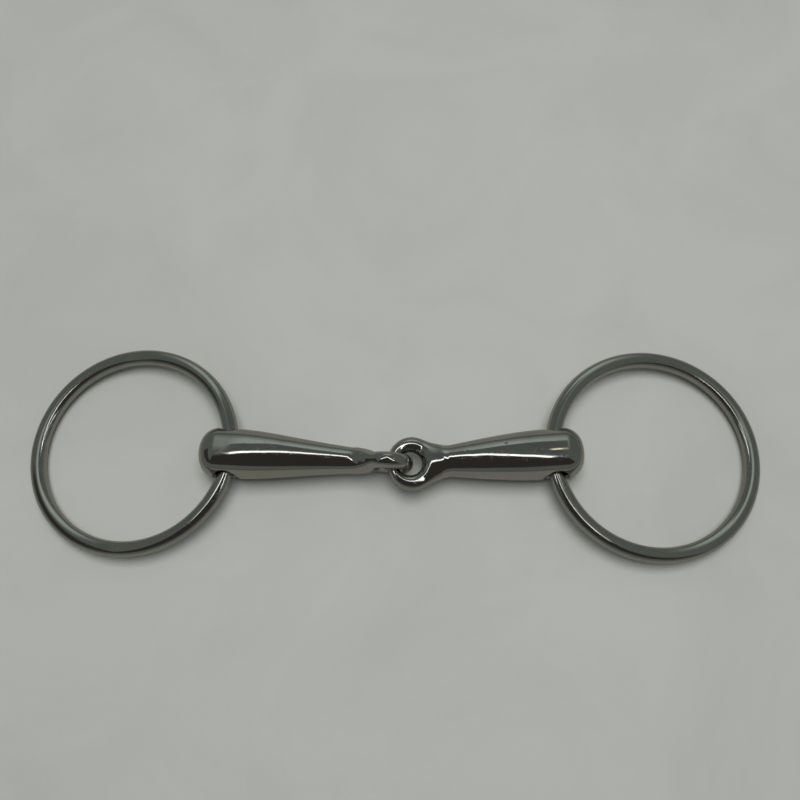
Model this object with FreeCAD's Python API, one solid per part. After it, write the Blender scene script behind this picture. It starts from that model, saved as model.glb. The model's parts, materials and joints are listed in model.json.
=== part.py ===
"""Loose-ring snaffle bit with a single-jointed mouthpiece.

Frame (millimetres): X along the mouthpiece, Y across it, Z up.  The origin lies on the resting
surface, midway between the centres of the two rings.  The bit is stored lying down: each ring
leans on its outermost rim, each half of the mouthpiece lies on its thick end, and the left half
stands on its upright eye, which carries the flat eye of the right half.

Each half is modelled along its own X axis, with the ring hole's centre at the origin and the ring
hole along Y, and is then turned and moved to its place.
"""
import FreeCAD, Part
import math
import os
from FreeCAD import Placement, Rotation, Vector

# ---- driving dimensions ---------------------------------------------------------------------
# rings
ring_outer_dia = 76.0        # 3 in cheek ring
ring_wire_dia = 5.5

# mouthpiece halves: the same bar, cut to two lengths
mouth_dia = 17.6             # thickest, where the ring goes through
left_length = 64.7           # from the ring hole's axis to the tip of the eye
right_length = 58.1
end_reach = 10.0             # from the ring hole's axis to the rounded outer end
end_corner_r = 6.4           # corner of the outer end
end_dome_r = 18.0            # shallow dome across the outer end
shoulder_run = 2.0           # from the ring hole's axis to the start of the taper
middle_run = 26.0            # from the ring hole's axis to a station halfway down the taper
left_middle_dia = 13.1       # the two halves are finished by hand, and differ a little
right_middle_dia = 13.8
neck_run = 50.0              # from the ring hole's axis to the taper's natural end
neck_dia = 8.0
neck_slope = 0.080           # radius lost per millimetre at the neck

# ring holes
hole_clearance = 1.1         # radial: lets a bent wire turn in a straight hole
hole_lip_r = 1.3             # rounded mouth of each hole

# eyes
eye_width = 19.0             # across the bar
eye_length = 17.4            # along the bar
eye_hole_dia = 8.2
eye_tip_wall = 3.9           # thin side of the eye, towards the other half
eye_thickness = 5.5          # along the eye's axis
web_thickness = 7.4          # where the neck meets the eye's hole
left_eye_roll = 95.5         # degrees from flat: the upright eye is not quite square to its hole
right_eye_roll = 0.0
eye_fillet_r = 6.0           # hollow curve from the neck out to the eye
link_play = 1.25             # how far the two eyes can slide apart or together

# how the bit lies, in degrees
left_yaw = 2.5               # each half runs this far from the X axis, sagging towards -Y
right_yaw = 5.4
right_ring_skew = 3.2        # the right ring lies this far from square in its hole

# ---- derived sizes --------------------------------------------------------------------------
mouth_r = mouth_dia / 2.0
wire_r = ring_wire_dia / 2.0
ring_r = ring_outer_dia / 2.0 - wire_r
hole_r = wire_r + hole_clearance
eye_side = eye_width / 2.0
eye_reach = eye_length / 2.0
eye_hole_r = eye_hole_dia / 2.0
eye_half = eye_thickness / 2.0
eye_offset = eye_reach - eye_hole_r - eye_tip_wall  # from the eye's middle to its hole's centre
eye_back_wall = eye_length - eye_hole_dia - eye_tip_wall    # between the eye's hole and the neck
eye_thin_wall = min(eye_tip_wall, eye_back_wall, eye_side - eye_hole_r)
eye_rim = 0.5 * eye_thin_wall                       # how far in the outer edge is rounded
eye_lip_r = 0.45 * eye_thin_wall                    # rounded mouth of the eye's hole

hole_half = mouth_r - hole_lip_r
ring_bow = ring_r - math.sqrt(ring_r ** 2 - hole_half ** 2)
ring_seat = ring_r - ring_bow / 2.0                 # ring hole's axis to the ring's centre
ring_tilt = math.degrees(math.asin((mouth_r - wire_r) / (ring_seat + ring_r)))

OVAL_POINTS = 12             # points that a spline oval runs through
EYE_STEPS = 5                # sections on each side of the eye's middle plane
RIM_MARGIN = 0.1             # slack when picking the edges of a hole's mouth
WEB_LEAD = 1.6               # how far the web starts inside the bar
WEB_SKIN = 0.12              # how far it starts under the bar's surface, and comes out over it
WEB_SINK = 0.45              # how far the web's sections stay under the eye's surface
WEB_NOSE = 1.6               # length over which the web rounds down to the eye's hole
FLARE_SHARES = (0.0, 0.4, 0.7, 1.0)     # stations along the hollow curve from the neck
WAIST_ROUNDS = 8             # the waist's place and radius depend on each other
ANGLE_STEP = 1e-6            # radians

X_AXIS = Vector(1, 0, 0)
Y_AXIS = Vector(0, 1, 0)
Z_AXIS = Vector(0, 0, 1)
ORIGIN = Vector(0, 0, 0)


def oval(centre, along, half_along, up, half_up):
    """Closed elliptical wire with its half axes along two unit vectors."""
    points = []
    for step in range(OVAL_POINTS):
        angle = 2.0 * math.pi * step / OVAL_POINTS
        points.append(centre + along * (half_along * math.cos(angle)) + up * (half_up * math.sin(angle)))
    curve = Part.BSplineCurve()
    curve.interpolate(Points=points, PeriodicFlag=True)
    return Part.Wire(curve.toShape())


def taper_curve(middle_dia):
    """Outline of the taper, from the shoulder to the neck."""
    curve = Part.BSplineCurve()
    curve.interpolate(
        Points=[Vector(shoulder_run, mouth_r, 0),
                Vector(middle_run, middle_dia / 2.0, 0),
                Vector(neck_run, neck_dia / 2.0, 0)],
        InitialTangent=X_AXIS,
        FinalTangent=Vector(1, -neck_slope, 0))
    return curve


def taper_point(curve, run):
    """Point of the taper, or of the neck that goes on past it, at a distance from the ring hole's axis."""
    if run >= neck_run:
        return Vector(run, neck_dia / 2.0 - neck_slope * (run - neck_run), 0)
    upright = Part.LineSegment(Vector(run, 0, 0), Vector(run, mouth_dia, 0))
    hit = curve.intersect(upright)[0]
    return Vector(hit.X, hit.Y, 0)


def make_bar(curve, waist_x):
    """Solid round bar from its domed outer end, along a taper, to the waist before the eye."""
    corner_y = mouth_r - end_corner_r
    dome_x = end_dome_r - end_reach
    corner_x = dome_x - math.sqrt((end_dome_r - end_corner_r) ** 2 - corner_y ** 2)
    dome_angle = math.atan2(corner_y, dome_x - corner_x)
    turn_angle = (math.pi / 2.0 + dome_angle) / 2.0
    end_tip = Vector(-end_reach, 0, 0)
    dome_mid = Vector(dome_x - end_dome_r * math.cos(dome_angle / 2.0),
                      end_dome_r * math.sin(dome_angle / 2.0), 0)
    dome_end = Vector(dome_x - end_dome_r * math.cos(dome_angle),
                      end_dome_r * math.sin(dome_angle), 0)
    corner_mid = Vector(corner_x - end_corner_r * math.cos(turn_angle),
                        corner_y + end_corner_r * math.sin(turn_angle), 0)
    corner_end = Vector(corner_x, mouth_r, 0)
    shoulder = Vector(shoulder_run, mouth_r, 0)
    waist = taper_point(curve, waist_x)
    waist_foot = Vector(waist.x, 0, 0)
    if waist.x > neck_run:
        taper = [curve.toShape(), Part.LineSegment(taper_point(curve, neck_run), waist).toShape()]
    else:
        taper = [curve.toShape(curve.FirstParameter, curve.parameter(waist))]
    outline = Part.Wire([
        Part.Arc(end_tip, dome_mid, dome_end).toShape(),
        Part.Arc(dome_end, corner_mid, corner_end).toShape(),
        Part.LineSegment(corner_end, shoulder).toShape(),
        *taper,
        Part.LineSegment(waist, waist_foot).toShape(),
        Part.LineSegment(waist_foot, end_tip).toShape(),
    ])
    return Part.Face(outline).revolve(ORIGIN, X_AXIS, 360)


def make_eye_ring(eye_x):
    """Ring of the eye: an oval rounded outer edge, and a round hole set off towards the tip."""
    sections = []
    for step in range(-EYE_STEPS, EYE_STEPS + 1):
        angle = math.radians(90.0 * step / EYE_STEPS)
        inset = eye_rim * (1.0 - math.cos(angle))
        centre = Vector(eye_x, 0, eye_half * math.sin(angle))
        sections.append(oval(centre, X_AXIS, eye_reach - inset, Y_AXIS, eye_side - inset))
    disc = Part.makeLoft(sections, True, False)
    hole_x = eye_x + eye_offset
    hole = Part.makeCylinder(eye_hole_r, 2 * eye_thickness, Vector(hole_x, 0, -eye_thickness), Z_AXIS)
    ring = disc.cut(hole)
    rims = [edge for edge in ring.Edges if is_eye_rim(edge, hole_x)]
    return ring.makeFillet(eye_lip_r, rims)


def is_eye_rim(edge, hole_x):
    """True for an edge that runs round a mouth of the eye's hole."""
    box = edge.BoundBox
    inside = box.XMax < hole_x + eye_hole_r + RIM_MARGIN and box.XMin > hole_x - eye_hole_r - RIM_MARGIN
    return inside and min(abs(box.ZMin), abs(box.ZMax)) > eye_half - RIM_MARGIN


def flare_lean(waist_r):
    """Angle on the eye's outer oval where the hollow curve from the neck meets it, and its slope."""
    low, high = 0.0, math.pi / 2.0
    while high - low > ANGLE_STEP:
        angle = (low + high) / 2.0
        slope = math.atan2(eye_side * math.cos(angle), eye_reach * math.sin(angle))
        if eye_side * math.sin(angle) < waist_r + eye_fillet_r * (1.0 - math.cos(slope)):
            low = angle
        else:
            high = angle
    return angle, slope


def waist_station(curve, eye_x):
    """Where the neck stops tapering and its hollow curve to the eye begins, and its radius."""
    waist_x = eye_x - eye_reach
    for _ in range(WAIST_ROUNDS):
        waist_r = taper_point(curve, waist_x).y
        angle, slope = flare_lean(waist_r)
        waist_x = eye_x - eye_reach * math.cos(angle) - eye_fillet_r * math.sin(slope)
    return waist_x, waist_r


def make_web(curve, eye_x, waist_x, waist_r):
    """Blend from the round neck out to the eye's width and down to the rim of its hole."""
    slope = flare_lean(waist_r)[1]
    flare_run = eye_fillet_r * math.sin(slope)
    rim_x = eye_x + eye_offset - eye_hole_r
    nose_x = rim_x - WEB_NOSE
    web_half = web_thickness / 2.0
    lead_x = waist_x - WEB_LEAD
    lead_r = taper_point(curve, lead_x).y - WEB_SKIN
    sections = [oval(Vector(lead_x, 0, 0), Y_AXIS, lead_r, Z_AXIS, lead_r)]
    for share in FLARE_SHARES:
        run = share * flare_run
        flare = eye_fillet_r - math.sqrt(eye_fillet_r ** 2 - run ** 2)
        thinned = (waist_r - web_half) * run / (nose_x - waist_x)
        sections.append(oval(Vector(waist_x + run, 0, 0), Y_AXIS, waist_r + WEB_SKIN + flare,
                             Z_AXIS, waist_r + WEB_SKIN - thinned))
    nose_width = eye_side * math.sqrt(1.0 - ((eye_x - nose_x) / eye_reach) ** 2) - WEB_SINK
    sections.append(oval(Vector(nose_x, 0, 0), Y_AXIS, nose_width, Z_AXIS, web_half))
    sections.append(oval(Vector(rim_x - WEB_SINK, 0, 0), Y_AXIS, nose_width, Z_AXIS, eye_half / 2.0))
    return Part.makeLoft(sections, True, False)


def is_hole_rim(edge):
    """True for an edge that runs round a mouth of the ring hole."""
    box = edge.BoundBox
    near_hole = max(abs(box.XMin), abs(box.XMax)) < hole_r + RIM_MARGIN
    return near_hole and min(abs(box.YMin), abs(box.YMax)) > mouth_r / 2.0


def make_half(length, middle_dia, eye_roll):
    """One half of the mouthpiece, along X, its eye rolled from flat by an angle in degrees."""
    curve = taper_curve(middle_dia)
    eye_x = length - eye_reach
    waist_x, waist_r = waist_station(curve, eye_x)
    bar = make_bar(curve, waist_x)
    hole = Part.makeCylinder(hole_r, 2 * mouth_dia, Vector(0, -mouth_dia, 0), Y_AXIS)
    bar = bar.cut(hole)
    rims = [edge for edge in bar.Edges if is_hole_rim(edge)]
    bar = bar.makeFillet(hole_lip_r, rims)
    head = make_web(curve, eye_x, waist_x, waist_r).fuse(make_eye_ring(eye_x))
    head.rotate(ORIGIN, X_AXIS, eye_roll)
    return bar.fuse(head).removeSplitter()


def make_ring():
    """One cheek ring: round bar bent to a circle and butt-welded flush, flat about the origin."""
    return Part.makeTorus(ring_r, wire_r)


def turned(yaw, pitch):
    """Rotation by pitch about Y, then yaw about Z, in degrees."""
    return Rotation(Z_AXIS, yaw) * Rotation(Y_AXIS, pitch)


# ---- where everything lies ------------------------------------------------------------------
# The left half rises from its thick end to its upright eye; the right half comes up to meet it.
pivot_run = left_length - 2 * eye_tip_wall - link_play      # left hole's axis to the right tip
left_eye_run = left_length - eye_reach
eye_wire_run = (eye_side + eye_hole_r) / 2.0                # eye's middle to its lowest wire's middle
eye_stand = eye_wire_run * math.sin(math.radians(left_eye_roll)) + eye_half
left_rise = math.degrees(math.asin((eye_stand - mouth_r) / left_eye_run))
left_turn = turned(-left_yaw, -left_rise)
pivot_along_left = pivot_run + eye_tip_wall + eye_hole_r
pivot_along_right = right_length - eye_tip_wall - eye_hole_r

left_hole = Vector(0, 0, mouth_r)
pivot = left_hole + left_turn.multVec(X_AXIS) * pivot_along_left
right_rise = math.degrees(math.asin((pivot.z - mouth_r) / pivot_along_right))
right_turn = turned(180.0 + right_yaw, -right_rise)
right_hole = pivot - right_turn.multVec(X_AXIS) * pivot_along_right

left_ring_turn = turned(180.0 - left_yaw, ring_tilt)
right_ring_turn = turned(right_yaw - right_ring_skew, ring_tilt)
left_ring_centre = left_hole + left_ring_turn.multVec(X_AXIS) * ring_seat
right_ring_centre = right_hole + right_ring_turn.multVec(X_AXIS) * ring_seat

middle = (left_ring_centre + right_ring_centre) * 0.5
to_frame = Vector(-middle.x, -middle.y, 0)

left_half = make_half(left_length, left_middle_dia, left_eye_roll)
left_half.Placement = Placement(left_hole + to_frame, left_turn)
right_half = make_half(right_length, right_middle_dia, right_eye_roll)
right_half.Placement = Placement(right_hole + to_frame, right_turn)
left_ring = make_ring()
left_ring.Placement = Placement(left_ring_centre + to_frame, left_ring_turn)
right_ring = make_ring()
right_ring.Placement = Placement(right_ring_centre + to_frame, right_ring_turn)

nodes = {
    "left_mouthpiece": left_half,
    "right_mouthpiece": right_half,
    "left_ring": left_ring,
    "right_ring": right_ring,
}
os.makedirs("parts", exist_ok=True)
for name, shape in nodes.items():
    shape.exportStep("parts/" + name + ".step")
    print(name, "solids", len(shape.Solids), "valid", shape.isValid(), "volume", round(shape.Volume, 1))

places = {
    "left hole": left_hole,
    "right hole": right_hole,
    "joint": pivot,
    "left ring centre": left_ring_centre,
    "right ring centre": right_ring_centre,
}
for name, point in places.items():
    point = point + to_frame
    print(name, round(point.x, 3), round(point.y, 3), round(point.z, 3))
for name, turn in (("left hole axis", left_turn), ("right hole axis", right_turn)):
    axis = turn.multVec(Y_AXIS)
    print(name, round(axis.x, 5), round(axis.y, 5), round(axis.z, 5))
print("ring tilt", round(ring_tilt, 3), "left rise", round(left_rise, 3), "right rise", round(right_rise, 3))
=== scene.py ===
"""Looks for the loose-ring snaffle bit: polished steel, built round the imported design.

Everything is in metres, in the design's own frame: +X along the mouthpiece, +Y across it, +Z up,
with the resting surface at Z = 0.  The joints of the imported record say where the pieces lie.  The
cheek rings are swept by Geometry Nodes.  Each half of the mouthpiece is one forging, so it is built
as one closed skin over a rule that blends its bar, neck and eye.
"""
import sys
import json
import logging
import math
from collections.abc import Callable, Sequence
from dataclasses import dataclass, field
from enum import Enum

import bpy
import numpy as np
from mathutils import Euler, Matrix, Vector

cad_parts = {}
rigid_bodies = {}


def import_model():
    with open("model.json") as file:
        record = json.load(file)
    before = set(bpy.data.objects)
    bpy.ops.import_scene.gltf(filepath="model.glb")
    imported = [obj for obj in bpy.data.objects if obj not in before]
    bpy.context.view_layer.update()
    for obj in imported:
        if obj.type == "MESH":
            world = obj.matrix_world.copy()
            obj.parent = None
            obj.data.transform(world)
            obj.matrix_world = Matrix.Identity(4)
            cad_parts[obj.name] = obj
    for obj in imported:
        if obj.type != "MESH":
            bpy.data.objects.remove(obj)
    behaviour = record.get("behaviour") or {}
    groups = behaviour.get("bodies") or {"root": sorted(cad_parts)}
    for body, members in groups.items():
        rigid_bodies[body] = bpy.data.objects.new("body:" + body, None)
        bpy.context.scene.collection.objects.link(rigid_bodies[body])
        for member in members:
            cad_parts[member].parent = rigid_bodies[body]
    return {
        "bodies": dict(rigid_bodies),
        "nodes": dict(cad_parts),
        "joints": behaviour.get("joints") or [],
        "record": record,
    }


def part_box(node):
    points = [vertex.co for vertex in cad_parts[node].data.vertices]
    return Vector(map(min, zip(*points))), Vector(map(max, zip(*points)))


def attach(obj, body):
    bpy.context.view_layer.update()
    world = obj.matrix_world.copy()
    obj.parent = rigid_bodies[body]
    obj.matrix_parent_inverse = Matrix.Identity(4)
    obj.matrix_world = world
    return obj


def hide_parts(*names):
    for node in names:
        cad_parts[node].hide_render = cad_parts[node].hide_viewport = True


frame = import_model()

log = logging.getLogger("snaffle_bit")

MM = 0.001
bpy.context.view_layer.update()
GRAIN = "grain"                     # attribute: coordinates that follow the polishing direction
GRAIN_STRETCH = 0.03                # how much those coordinates are drawn out along the bar
LEAST_STEEP = 1.0                   # keeps an oval's rule from dividing by nothing at its middle

Array = np.ndarray
Rule = Callable[[Array], Array]


class Side(Enum):
    """The two ends of the bit."""

    LEFT = "left"
    RIGHT = "right"


class Slot(Enum):
    """The record's material slots."""

    MOUTHPIECE = "mouthpiece_steel"
    RING = "ring_steel"


# ---- where the pieces lie -------------------------------------------------------------------


@dataclass(frozen=True)
class Axes:
    """A piece's own origin and square directions, in the design's frame."""

    origin: Vector
    along: Vector
    across: Vector
    up: Vector

    def matrix(self) -> Matrix:
        """Return the transform from the piece's own coordinates to the design's frame."""
        turn = Matrix((self.along, self.across, self.up)).transposed().to_4x4()
        return Matrix.Translation(self.origin) @ turn


class Layout:
    """Works out each piece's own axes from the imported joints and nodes."""

    def __init__(self, packed: dict) -> None:
        """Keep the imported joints.
        """
        self.joints = {joint["name"]: joint for joint in packed["joints"]}

    def point(self, joint: str) -> Vector:
        """Return a joint's point."""
        return Vector(self.joints[joint]["pos_m"])

    def half(self, side: Side) -> Axes:
        """Find the axes of one half of the mouthpiece.

        Args:
            side: which half.

        Returns:
            Axes with the origin in the ring hole, along towards the eye and across along the hole.
        """
        swing = f"{side.value}_ring_swing"
        origin = self.point(swing)
        along = (self.point("mouthpiece_joint") - origin).normalized()
        across = Vector(self.joints[swing]["axis"]).normalized()
        up = along.cross(across)
        if up.z < 0.0:
            across = -across
            up = -up
        return Axes(origin, along, across, up)

    def ring(self, side: Side) -> Axes:
        """Find the axes of one cheek ring.

        Args:
            side: which ring.

        Returns:
            Axes with the origin at the ring's centre and up square to the ring.
        """
        low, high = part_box(f"{side.value}_ring")
        origin = (low + high) / 2.0
        along = (origin - self.point(f"{side.value}_ring_swing")).normalized()
        across = Vector((0.0, 0.0, 1.0)).cross(along).normalized()
        return Axes(origin, along, across, along.cross(across))


# ---- rules for solid shapes -----------------------------------------------------------------


def round_union(first: Array, second: Array, radius: Array | float) -> Array:
    """Join two distance rules with a hollow curve between them.

    Args:
        first: distances to one shape, negative inside.
        second: distances to the other shape.
        radius: radius of the hollow curve, which may change from point to point.

    Returns:
        Distances to the joined shape.
    """
    one = np.maximum(radius - first, 0.0)
    other = np.maximum(radius - second, 0.0)
    return np.maximum(radius, np.minimum(first, second)) - np.hypot(one, other)


def round_common(first: Array, second: Array, radius: float) -> Array:
    """Keep what two distance rules share, with a rounded edge between them.

    Args:
        first: distances to one shape, negative inside.
        second: distances to the other shape.
        radius: radius of the rounded edge.

    Returns:
        Distances to the shape that both hold.
    """
    one = np.maximum(radius + first, 0.0)
    other = np.maximum(radius + second, 0.0)
    return np.minimum(-radius, np.maximum(first, second)) + np.hypot(one, other)


def smooth_step(share: Array) -> Array:
    """Ease a share from 0 to 1, level at both ends."""
    held = np.clip(share, 0.0, 1.0)
    return held * held * (3.0 - 2.0 * held)


@dataclass(frozen=True)
class BarForm:
    """Round bar with a domed thick end, tapering to a neck."""

    middle_r: float                      # radius halfway down the taper
    mouth_r: float = 8.8 * MM            # thickest, where the ring goes through
    end_reach: float = 10.0 * MM         # from the ring hole's axis to the outer end
    corner_r: float = 6.4 * MM
    dome_r: float = 18.0 * MM
    shoulder_run: float = 2.0 * MM
    middle_run: float = 26.0 * MM
    neck_run: float = 50.0 * MM
    neck_r: float = 4.0 * MM
    neck_slope: float = 0.080

    def radius(self, run: Array) -> Array:
        """Find the bar's radius along its length.

        Args:
            run: distances from the ring hole's axis.

        Returns:
            The radius at each distance, from a curve through the shoulder, middle and neck.
        """
        span = self.middle_run - self.shoulder_run
        middle_slope = (3.0 * (self.neck_r - self.mouth_r) / span + self.neck_slope) / 4.0
        near = hermite((run - self.shoulder_run) / span, self.mouth_r, self.middle_r,
                       0.0, middle_slope * span)
        span = self.neck_run - self.middle_run
        far = hermite((run - self.middle_run) / span, self.middle_r, self.neck_r,
                      middle_slope * span, -self.neck_slope * span)
        taper = np.where(run < self.middle_run, near, far)
        return np.where(run < self.shoulder_run, self.mouth_r, taper)

    def distance(self, run: Array, out: Array) -> Array:
        """Measure how far points are from the bar's skin.

        Args:
            run: distances along the bar from the ring hole's axis.
            out: distances from the bar's axis.

        Returns:
            Distances to the skin, negative inside.
        """
        corner_out = self.mouth_r - self.corner_r
        dome_x = self.dome_r - self.end_reach
        corner_x = dome_x - math.sqrt((self.dome_r - self.corner_r) ** 2 - corner_out ** 2)
        side = out - self.radius(run)
        corner = np.hypot(run - corner_x, out - corner_out) - self.corner_r
        dome = np.hypot(run - dome_x, out) - self.dome_r
        on_corner = out * (dome_x - corner_x) > corner_out * (dome_x - run)
        end = np.where(on_corner, corner, dome)
        return np.where(run < corner_x, end, side)


def hermite(share: Array, start: float, stop: float, start_pull: float, stop_pull: float) -> Array:
    """Run a cubic curve between two values.

    Args:
        share: how far along the curve, from 0 to 1; beyond that the curve goes on in its way.
        start: value at 0.
        stop: value at 1.
        start_pull: slope at 0.
        stop_pull: slope at 1.

    Returns:
        The curve's value at each share.
    """
    held = np.clip(share, 0.0, 1.0)
    rest = 1.0 - held
    curve = (start * rest * rest * (1.0 + 2.0 * held) + stop * held * held * (3.0 - 2.0 * held)
             + start_pull * held * rest * rest - stop_pull * held * held * rest)
    return curve + np.maximum(share - 1.0, 0.0) * stop_pull


@dataclass(frozen=True)
class EyeForm:
    """Flat eye at the end of the neck: an oval outside, a round hole set off towards the tip."""

    centre_run: float                    # from the ring hole's axis to the middle of the oval
    side_r: float = 9.5 * MM             # across the bar
    reach_r: float = 8.7 * MM            # along the bar
    hole_r: float = 4.1 * MM
    tip_wall: float = 3.9 * MM
    half_thick: float = 2.75 * MM

    @property
    def hole_run(self) -> float:
        """Distance from the ring hole's axis to the middle of the eye's hole."""
        return self.centre_run + self.reach_r - self.hole_r - self.tip_wall

    def hole_distance(self, run: Array, wide: Array) -> Array:
        """Return distances inwards from the wall of the eye's hole, negative in the metal."""
        return self.hole_r - np.hypot(run - self.hole_run, wide)

    def distance(self, run: Array, wide: Array, thick: Array) -> Array:
        """Measure how far points are from the skin of the eye's ring, whose section is an oval.

        Args:
            run: distances along the bar from the ring hole's axis.
            wide: distances across the bar, in the plane of the eye.
            thick: distances from the plane of the eye.

        Returns:
            Distances to the skin, negative inside.
        """
        level = np.hypot((run - self.centre_run) / self.reach_r, wide / self.side_r)
        steep = np.hypot((run - self.centre_run) / self.reach_r ** 2, wide / self.side_r ** 2)
        outer = level * (level - 1.0) / np.maximum(steep, LEAST_STEEP)
        inner = self.hole_distance(run, wide)
        thinnest = self.hole_r / 4.0
        half_wall = np.maximum(-outer - inner, thinnest) / 2.0
        offset = (outer - inner) / 2.0
        ratio = np.hypot(offset / half_wall, thick / self.half_thick)
        spread = np.hypot(offset / half_wall ** 2, thick / self.half_thick ** 2)
        return ratio * (ratio - 1.0) / np.maximum(spread, LEAST_STEEP)


@dataclass(frozen=True)
class Dent:
    """A small mark knocked into a half, placed by its run along the bar and its lean from the top."""

    run: float
    lean_deg: float
    radius: float
    depth: float


@dataclass(frozen=True)
class HandFinish:
    """How hand polishing leaves a forging: slightly wavy, with a few small dents."""

    seed: int
    wave_height: float = 0.006 * MM
    wave_length: float = 7.0 * MM
    wave_count: int = 14
    dent_count: int = 26
    dent_radius: tuple[float, float] = (0.35 * MM, 0.9 * MM)
    dent_depth: tuple[float, float] = (0.004 * MM, 0.018 * MM)

    def waves(self) -> tuple[Array, Array]:
        """Draw the directions, lengths and phases of the waves.

        Returns:
            One row of three angular frequencies per wave, and one phase per wave.
        """
        draw = np.random.default_rng(self.seed)
        heading = draw.normal(size=(self.wave_count, 3))
        heading /= np.linalg.norm(heading, axis=1)[:, None]
        length = self.wave_length * draw.uniform(0.5, 1.8, self.wave_count)
        phase = draw.uniform(0.0, 2.0 * math.pi, self.wave_count)
        return heading * (2.0 * math.pi / length)[:, None], phase

    def wave_distance(self, points: Array) -> Array:
        """Return how far the waves move the skin in at each point."""
        pace, phase = self.waves()
        return self.wave_height * np.sin(points @ pace.T + phase).sum(axis=1) / math.sqrt(self.wave_count)

    def dents(self, skin: Array) -> list[tuple[Array, float, float]]:
        """Scatter small dents over a skin.

        Args:
            skin: points on the skin.

        Returns:
            The middle, radius and depth of each dent.
        """
        draw = np.random.default_rng(self.seed + 1)
        middles = skin[draw.choice(len(skin), self.dent_count, replace=False)]
        radii = draw.uniform(*self.dent_radius, self.dent_count)
        depths = draw.uniform(*self.dent_depth, self.dent_count)
        return list(zip(middles, radii, depths))


# ---- skins ----------------------------------------------------------------------------------


@dataclass
class Skin:
    """Closed mesh of quads laid over a distance rule."""

    rule: Rule
    points: Array
    quads: Array
    nudge: float = 0.005 * MM            # step used to find a slope
    least_slope: float = 0.05            # keeps a flat spot of the rule from throwing a point far off
    pull: float = 0.6                    # how far a point goes towards the middle of its neighbours

    def slope(self, points: Array) -> Array:
        """Find the rule's slope, which points outwards.

        Args:
            points: where to find it.

        Returns:
            The slope at each point.
        """
        slopes = np.empty_like(points)
        for axis in range(3):
            step = np.zeros(3)
            step[axis] = self.nudge
            slopes[:, axis] = self.rule(points + step) - self.rule(points - step)
        return slopes / (2.0 * self.nudge)

    def settle(self, rounds: int) -> None:
        """Move the points onto the skin, along the rule's slope.

        Args:
            rounds: how many times to move them.
        """
        for _ in range(rounds):
            slope = self.slope(self.points)
            steep = np.maximum((slope ** 2).sum(axis=1), self.least_slope)
            self.points = self.points - slope * (self.rule(self.points) / steep)[:, None]

    def relax(self, rounds: int) -> None:
        """Even out the mesh: move each point towards the middle of its neighbours, then back on.

        Args:
            rounds: how many times to do it.
        """
        ends = np.vstack([self.quads[:, [corner, (corner + 1) % 4]] for corner in range(4)])
        ends = np.vstack([ends, ends[:, ::-1]])
        total = np.bincount(ends[:, 0], minlength=len(self.points))
        for _ in range(rounds):
            middle = np.stack([np.bincount(ends[:, 0], self.points[ends[:, 1], axis], len(self.points))
                               for axis in range(3)], axis=1) / total[:, None]
            self.points = (1.0 - self.pull) * self.points + self.pull * middle
            self.settle(1)

    def normals(self) -> Array:
        """Return the outward direction at each point."""
        slope = self.slope(self.points)
        return slope / np.linalg.norm(slope, axis=1)[:, None]

    def mesh(self, name: str) -> bpy.types.Mesh:
        """Make the Blender mesh, shaded by the rule's own outward directions.

        Args:
            name: the mesh's name.

        Returns:
            The mesh, in the piece's own coordinates.
        """
        made = bpy.data.meshes.new(name)
        made.from_pydata(self.points.tolist(), [], self.quads.tolist())
        made.shade_smooth()
        made.normals_split_custom_set_from_vertices(self.normals().tolist())
        return made


def lay_skin(rule: Rule, low: Array, high: Array, step: float) -> Skin:
    """Lay a closed net of quads where a distance rule changes sign.

    Args:
        rule: distances, negative inside.
        low: lowest corner of a box that holds the shape.
        high: highest corner of the box.
        step: size of the cells that the net is laid through.

    Returns:
        The skin, with one point in each cell that the surface passes through.
    """
    ticks = [np.arange(low[axis], high[axis] + step, step) for axis in range(3)]
    grid = np.stack(np.meshgrid(*ticks, indexing="ij"), axis=-1)
    level = rule(grid.reshape(-1, 3)).reshape(grid.shape[:3])
    cells = tuple(size - 1 for size in level.shape)
    total = np.zeros((*cells, 3))
    count = np.zeros(cells)
    for axis in range(3):
        for corner in ((0, 0), (0, 1), (1, 0), (1, 1)):
            start = np.zeros(3, int)
            start[[(axis + 1) % 3, (axis + 2) % 3]] = corner
            stop = start.copy()
            stop[axis] = 1
            first = level[tuple(slice(start[i], start[i] + cells[i]) for i in range(3))]
            last = level[tuple(slice(stop[i], stop[i] + cells[i]) for i in range(3))]
            crosses = (first < 0.0) != (last < 0.0)
            share = np.where(crosses, first / np.where(crosses, first - last, 1.0), 0.0)
            spot = start + share[..., None] * (stop - start)
            total += spot * crosses[..., None]
            count += crosses
    active = count > 0
    number = np.full(cells, -1)
    number[active] = np.arange(int(active.sum()))
    points = low + step * (np.argwhere(active) + total[active] / count[active][:, None])
    return Skin(rule, points, net_quads(level, number))


def net_quads(level: Array, number: Array) -> Array:
    """Join the points of a net: one quad round each grid edge that the surface crosses.

    Args:
        level: the rule's value at each grid point.
        number: the number of each cell's point, or -1.

    Returns:
        Four point numbers per quad, counter-clockwise from outside.
    """
    quads = []
    for axis in range(3):
        second, third = (axis + 1) % 3, (axis + 2) % 3
        first = np.moveaxis(level, (axis, second, third), (0, 1, 2))
        cell = np.moveaxis(number, (axis, second, third), (0, 1, 2))
        near = first[:-1, 1:-1, 1:-1] < 0.0
        far = first[1:, 1:-1, 1:-1] < 0.0
        ring = np.stack([cell[:, :-1, :-1], cell[:, 1:, :-1], cell[:, 1:, 1:], cell[:, :-1, 1:]], axis=-1)
        quads.append(ring[near & ~far])
        quads.append(ring[~near & far][:, ::-1])
    return np.vstack(quads)


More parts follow.
